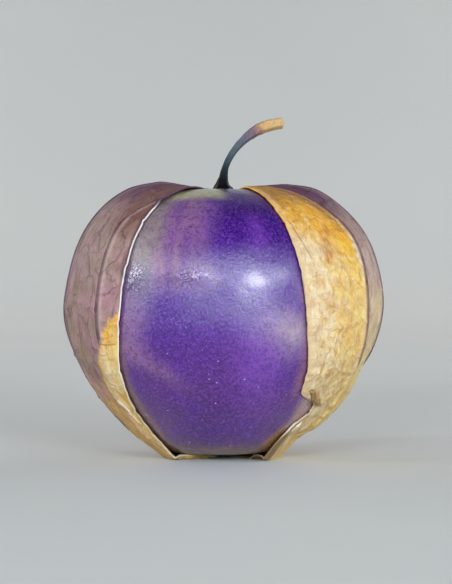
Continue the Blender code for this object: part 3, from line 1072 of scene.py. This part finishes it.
def middle_patches(tint, a, z, jitter):
    """(colour, film): mauve and a slanting streak on the left, and lilac on the right."""
    mauve = between(-26, -38, a + 0.6 * jitter) * between(29, 21, z) * between(14, 19, z)
    lilac = 0.85 * bump(a + 0.6 * jitter, 27, 11) * bump(z + 0.2 * jitter, 20.8, 3.2)
    lilac = max(lilac, 0.45 * bump(a + 0.4 * jitter, 36, 6) * bump(z, 27, 5))
    above_streak = z - 16.0 + 0.17 * (a + 33) + 0.15 * jitter
    return layered(
        tint,
        (MAUVE_SKIN, mauve * 0.75),
        (LILAC, lilac),
        (MAUVE_SKIN, 0.6 * bump(above_streak, 0, 1.7) * bump(a, -30, 13)),
    ), lilac


def border_patches(tint, a, z, jitter, wide):
    """(colour, film): green at the top, painted reflected light from the husk and the floor in brown, rose
    and olive beside the husk and at the bottom, and the hidden sides.
    """
    green = between(39.9, 41.1, z + 0.06 * jitter) * between(8, -6, a)
    green *= between(-60, -30, a)
    # Painted reflected light from the gold paper beside the right torn edge.
    beside = between(31, 34.5, a + 0.12 * jitter) * between(9, 13, z)
    beside *= between(39.5, 37, z)
    # Painted reflected light from the olive paper low beside the right torn edge, rose-grey above and olive
    # below.
    aside = a + 2.2 * max(0, 6.5 - z) + 0.2 * jitter
    paper_bounce = between(36.5, 44.5, aside) * between(11, 9.5, z)
    # Painted reflected light along the left rim beside the husk, and along the bottom.
    rim = between(-40.5, -45.5, a + 0.15 * jitter) * between(27, 20, z)
    rim = max(rim, between(3.6, 1.6, z + 0.1 * jitter))
    hidden = between(60, 110, abs(a)) * between(10, 30, z)
    return layered(
        tint,
        (GREEN_SKIN, green * 0.9),
        (BOUNCE_ROSE_BROWN, 0.55 * beside),
        (mix(ROSE_GREY_BOUNCE, OLIVE_BOUNCE, between(6.6, 4.4, z)), 0.9 * paper_bounce),
        # Painted reflected light on the rims.
        (BOUNCE_BROWN, rim * 0.75),
        (mix(GREEN_SKIN, MAUVE_SKIN, 0.5 + 1.5 * wide), hidden * 0.8),
    ), max(green, rim, 0.5 * beside, paper_bounce)


def fruit_tint(direction, azimuth, height):
    """(colour, how much dull film covers it) of a place on the skin."""
    wide = noise.noise(direction * 3.0)
    small = noise.noise(direction * 8.0)
    place = (azimuth, height, 5.0 * wide + 4.0 * small)
    violet = violet_skin(azimuth, height, wide + small, place[2])
    tint, high = high_patches(violet, *place)
    tint, middle = middle_patches(tint, *place)
    tint, border = border_patches(tint, *place, wide)
    return tint, max(high, middle, border)


def fruit_dots(azimuth, z):
    """How many of the skin's small white dots there are: most low in the middle."""
    return max(0.25 * between(22, 17, z), 0.75 * bump(azimuth, 3, 10) * bump(z, 15.5, 5))


def fruit_wrinkles(azimuth, z):
    """Where the skin is crinkled: beside the left torn edge, and a little nearer the middle."""
    beside = bump(azimuth, -36, 6) * bump(z, 28.0, 2.2)
    return max(beside, 0.6 * bump(azimuth, -16, 8) * bump(z, 28.4, 1.2))


def skin_reach(direction, husk_skin):
    """A little plumper than the model, but inside the paper."""
    swell = 0.05 * MM * noise.noise(direction * 6) + 0.02 * MM * noise.noise(direction * 16)
    slope = math.degrees(math.asin(direction.z))
    reach = fruit_reach(direction) + FRUIT_PLUMP + swell + CORNER_PLUMP * bump(slope, CORNER_SLOPE, 13)
    wall = husk_skin.ray_cast(FRUIT_MIDDLE, direction)[3]
    return reach if wall is None else min(reach, wall - SKIN_CLEARANCE)


def skin_mesh(husk_skin):
    bm = bmesh.new()
    bmesh.ops.create_uvsphere(bm, u_segments=210, v_segments=150, radius=1.0)
    tints, films, wrinkles, dots = [], [], [], []
    for vertex in bm.verts:
        direction = vertex.co.normalized()
        vertex.co = FRUIT_MIDDLE + direction * skin_reach(direction, husk_skin)
        azimuth = math.degrees(math.atan2(vertex.co.x, -vertex.co.y))
        height = vertex.co.z / MM
        tint, film = fruit_tint(direction, azimuth, height)
        tints.append((*tint, 1.0))
        films.append(film)
        wrinkles.append(fruit_wrinkles(azimuth, height))
        dots.append(fruit_dots(azimuth, height))
    mesh = finished_mesh(bm, "fruit_skin")
    write_attributes(mesh, tint=tints, film=films, wrinkle=wrinkles, dots=dots)
    return mesh


def freckled_colour(g, place, speckle, grain):
    """Mottling, brush strokes, and freckles that fade under the film."""
    mottle = g.noise(place, 0.9, 4, 0.62)
    brush = g.noise(g.scaled(place, 2.6, 2.6, 0.5), 1.0, 3, 0.6)
    colour = g.stained(
        g.attribute("tint", "Color"),
        (mottle, 0.50, 0.36, 0, 0.55, (0.68, 0.58, 0.80)),
        (mottle, 0.52, 0.66, 0, 0.5, (1.35, 1.35, 1.18)),
        (brush, 0.54, 0.70, 0, 0.4, (1.35, 1.3, 1.15)),
    )
    clear, clearer = (g.range(g.attribute("film"), 0.0, 1.0, 1.0, least) for least in (0.32, 0.45))
    for spots, low, high, most in ((speckle, 0.49, 0.65, 0.42), (grain, 0.50, 0.63, 0.28)):
        colour = g.mix(g.times(g.range(spots, low, high, 0, most), clear), colour, MILKY_VIOLET)
    for spots, low, high, most in ((speckle, 0.52, 0.36, 0.85), (grain, 0.46, 0.34, 0.6)):
        dark = g.times(g.range(spots, low, high, 0, most), clearer)
        colour = g.tinted(dark, colour, (0.36, 0.26, 0.54))
    return colour


def white_dots(g, place):
    """Dots in a share of the cells of a pattern, which the attribute dots gives."""
    near = g.cells(place, "F1", 0.95)
    picks = {0: g.cells(place, "F1", 0.95, "Color")}
    chosen = g.math("LESS_THAN", g.made("SeparateColor", 0, picks), g.attribute("dots"))
    strength = g.times(chosen, g.range(g.made("SeparateColor", 1, picks), 0.0, 1.0, 0.2, 0.9))
    return g.times(g.range(near, 0.13, 0.05), strength)


def skin_material():
    """Glossy skin under a thin uneven coat, with worm-like wrinkles in places."""
    g = Graph("fruit_skin")
    place = g.object_mm()
    speckle = g.noise(place, 2.2, 5, 0.8)
    grain = g.noise(place, 5.0, 3, 0.7)
    crinkle = g.noise(place, 1.5, 4, 0.68)
    colour = g.mix(white_dots(g, place), freckled_colour(g, place, speckle, grain), srgb(222, 200, 228))
    worm = g.math("ABSOLUTE", g.math("SUBTRACT", g.noise(place, 1.9), 0.5))
    worm = g.times(g.range(worm, 0.07, 0.0), g.attribute("wrinkle"))
    height = g.total((speckle, 0.42), (grain, 0.12), (crinkle, 0.4), (worm, 1.5))
    skin = g.surface(
        Base_Color=colour, Roughness=g.range(speckle, 0.3, 0.7, 0.155, 0.215),
        Normal=g.bump(height, 0.16 * MM, 0.85), Specular_IOR_Level=0.7,
        Coat_Weight=0.45, Coat_Roughness=0.135, Coat_IOR=1.5,
        Coat_Normal=g.bump(g.total((worm, 1.5), (crinkle, 0.1)), 0.16 * MM, 0.85),
    )
    return g.finish(skin)


def make_fruit(husk_skin):
    mesh = skin_mesh(husk_skin)
    mesh.materials.append(skin_material())
    new_object("fruit_skin", mesh, "fruit")


# Stem

STEM_SIDES = 40
STEM_STEPS = 8
CUT_DEPTH = 0.16 * MM
# Colours along the stem, from its root to the cut tip.
STEM_TONES = (
    (0.0, (16, 10, 20)), (0.22, (8, 8, 16)), (0.33, (28, 40, 46)), (0.45, (74, 92, 98)),
    (0.58, (98, 100, 114)), (0.70, (130, 102, 110)), (0.79, (208, 164, 110)), (1.0, (216, 184, 136)),
)


def stem_loop(bm, centre, ahead, side, radius, share):
    """One ring of the ridged stem."""
    other = ahead.cross(side)
    loop = []
    for k in range(STEM_SIDES):
        angle = 2 * math.pi * k / STEM_SIDES
        reach = 1 + 0.07 * math.cos(5 * angle) + 0.035 * math.cos(11 * angle + 2)
        reach += 0.10 * ripple(2 * math.cos(angle), 2 * math.sin(angle), 22 * share)
        reach *= 1 - 0.35 * between(0.955, 1.0, share) ** 2
        offset = side * math.cos(angle) + other * math.sin(angle)
        loop.append(bm.verts.new(centre + offset * radius * reach))
    return loop


def close_stem(bm, loop, ahead, inset):
    """Closes an end. The one with an inset is hollowed and faces ahead."""
    end = sum((v.co for v in loop), Vector()) / STEM_SIDES
    inner = [bm.verts.new(end + (v.co - end) * 0.75 - ahead * 0.2 * inset) for v in loop]
    hollow = bm.verts.new(end - ahead * inset)
    for k in range(STEM_SIDES):
        after = (k + 1) % STEM_SIDES
        for face in ((loop[k], loop[after], inner[after], inner[k]), (inner[k], inner[after], hollow)):
            bm.faces.new(face if inset else face[::-1])


def stem_mesh():
    places = [number / STEM_STEPS for number in range((len(STEM_ROUTE_MM) - 1) * STEM_STEPS + 1)]
    route = [[smooth_through(v, place) * MM for v in zip(*STEM_ROUTE_MM)] for place in places]
    centres = [Vector(spot[:3]) for spot in route]
    last = len(centres) - 1
    bm = bmesh.new()
    loops, along = [], []
    side = Vector((0, 1, 0))
    for number, centre in enumerate(centres):
        ahead = (centres[min(number + 1, last)] - centres[max(number - 1, 0)]).normalized()
        side = (side - ahead * side.dot(ahead)).normalized()
        loops.append(stem_loop(bm, centre, ahead, side, route[number][3], number / last))
        along += [number / last] * STEM_SIDES
    join_rows(bm, [loop + loop[:1] for loop in loops])
    ahead = (centres[-1] - centres[-2]).normalized()
    close_stem(bm, loops[0], ahead, 0.0)
    close_stem(bm, loops[-1], ahead, CUT_DEPTH)
    along += [0.0] * (STEM_SIDES + 1) + [1.0] * (STEM_SIDES + 1)
    mesh = finished_mesh(bm, "stem_bark")
    write_attributes(mesh, along=along)
    return mesh


def bark_material():
    g = Graph("stem_bark")
    place = g.object_mm()
    patch = g.noise(place, 1.1, 3, 0.6)
    fibre = g.noise(g.scaled(place, 3.5, 3.5, 0.8), 1.0, 3, 0.6)
    tone = g.made("ValToRGB", 0, {0: g.total((g.attribute("along"), 1), (patch, 0.14), (fibre, -0.14))})
    elements = tone.node.color_ramp.elements
    elements.remove(elements[1])
    for number, (position, shade) in enumerate(STEM_TONES):
        (elements.new(position) if number else elements[0]).color = (*srgb(*shade), 1)
    colour = g.stained(
        tone,
        (fibre, 0.35, 0.7, 0.6, 0, (0.5, 0.45, 0.45)),
        (patch, 0.55, 0.7, 0, 0.6, (1.3, 1.25, 1.2)),
    )
    normal = g.bump(g.total((fibre, 1.0), (patch, 0.5)), 0.12 * MM, 0.8)
    rough = g.range(patch, 0.3, 0.7, 0.45, 0.62)
    return g.finish(g.surface(Base_Color=colour, Roughness=rough, Normal=normal, Specular_IOR_Level=0.08))


def make_stem():
    mesh = stem_mesh()
    mesh.materials.append(bark_material())
    new_object("stem_bark", mesh, "stem")


# Floor, light and camera

def make_stage():
    bm = bmesh.new()
    profile = [(-1.2, 0.0), (-0.4, 0.0), (0.0, 0.0), (0.35, 0.0)]
    profile += [(0.35 + 0.35 * math.sin(a), 0.35 - 0.35 * math.cos(a)) for a in np.radians(range(6, 91, 6))]
    profile += [(0.7, 1.6)]
    sides = (-1.6, -0.5, 0.5, 1.6)
    join_rows(bm, [[bm.verts.new((x, y, z - FLOOR_DROP)) for x in sides] for y, z in profile])
    floor = bpy.data.objects.new("floor", finished_mesh(bm, "floor"))
    bpy.context.scene.collection.objects.link(floor)
    g = Graph("floor")
    soft = g.noise(g.made("TexCoord", "Object"), 14.0, 4, 0.55)
    tone = g.mix(soft, srgb(198, 199, 199), srgb(205, 205, 203))
    surface = g.surface(Base_Color=tone, Roughness=0.75, Specular_IOR_Level=0.3)
    floor.data.materials.append(g.finish(surface))


def area_light(name, azimuth, elevation, size, radiance, colour, distance=1.0, shape="RECTANGLE", beam=None):
    """A light that faces the fruit. Size is its width and height in metres, radiance what each point gives.

    A beam in degrees narrows it, so that it doesn't flood the floor.
    """
    light = bpy.data.lights.new(name, "AREA")
    light.shape = shape
    light.size, light.size_y = size
    light.energy = radiance * math.pi * size[0] * size[1]
    if beam:
        half = math.radians(beam / 2)
        light.spread = 2 * half
        light.energy *= 1 - half / math.tan(half)
    light.color = colour
    obj = bpy.data.objects.new(name, light)
    a, e = math.radians(azimuth), math.radians(elevation)
    way = Vector((math.sin(a) * math.cos(e), -math.cos(a) * math.cos(e), math.sin(e)))
    obj.location = Vector((0, 0, 26 * MM)) + way * distance
    obj.rotation_euler = (-way).to_track_quat("-Z", "Y").to_euler()
    bpy.context.scene.collection.objects.link(obj)


def make_world():
    world = bpy.data.worlds.new("studio")
    world.use_nodes = True
    background = world.node_tree.nodes["Background"]
    background.inputs[0].default_value = (0.86, 0.93, 1.0, 1)
    background.inputs[1].default_value = 0.12
    bpy.context.scene.world = world


def make_light():
    for azimuth, radiance in ((-58, 1.6), (0, 1.15), (58, 1.3)):
        area_light(f"band_{azimuth % 360}", azimuth, 18, (1.05, 0.25), radiance, COOL, beam=BAND_BEAM)
    area_light("band_upper", 12, 33, (0.7, 0.3), 0.6, COOL, beam=BAND_BEAM)
    for side, azimuth, elevation, size, radiance in WINDOWS:
        name = "window_" + side
        area_light(name, azimuth, elevation, size, radiance, SKY, shape="ELLIPSE", beam=WINDOW_BEAM)
    area_light("side_left", -108, 14, (0.9, 0.9), 1.4, WARM)
    area_light("side_right", 108, 8, (0.9, 0.9), 2.5, WARM)
    for azimuth in (-145, 145):
        area_light(f"behind_{azimuth % 360}", azimuth, 20, (0.45, 0.3), 2.6, WARM, 0.75)


def make_camera():
    camera = bpy.data.cameras.new("camera")
    camera.sensor_fit = "VERTICAL"
    camera.angle = 2 * math.atan(FRAME_HEIGHT / 2 / CAMERA_DISTANCE)
    camera.clip_start = 0.01
    camera.clip_end = 20
    obj = bpy.data.objects.new("camera", camera)
    middle_x, middle_z = FRAME_MIDDLE
    obj.location = (middle_x, AXIS.y - CAMERA_DISTANCE, EYE_HEIGHT)
    way = Vector((middle_x, AXIS.y, middle_z)) - obj.location
    obj.rotation_euler = way.to_track_quat("-Z", "Y").to_euler()
    bpy.context.scene.collection.objects.link(obj)
    bpy.context.scene.camera = obj


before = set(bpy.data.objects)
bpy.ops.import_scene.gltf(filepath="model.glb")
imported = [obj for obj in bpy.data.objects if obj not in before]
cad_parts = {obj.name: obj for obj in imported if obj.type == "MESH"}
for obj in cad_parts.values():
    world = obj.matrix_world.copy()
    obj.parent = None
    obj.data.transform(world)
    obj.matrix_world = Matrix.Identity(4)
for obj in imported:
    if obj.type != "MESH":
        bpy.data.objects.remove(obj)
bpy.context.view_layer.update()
noise.seed_set(NET_SEED)
make_camera()
make_world()
make_light()
make_stage()
make_fruit(make_husk())
make_scraps()
make_stem()
bpy.context.scene.view_settings.view_transform = "Standard"
bpy.context.scene.view_settings.look = "None"
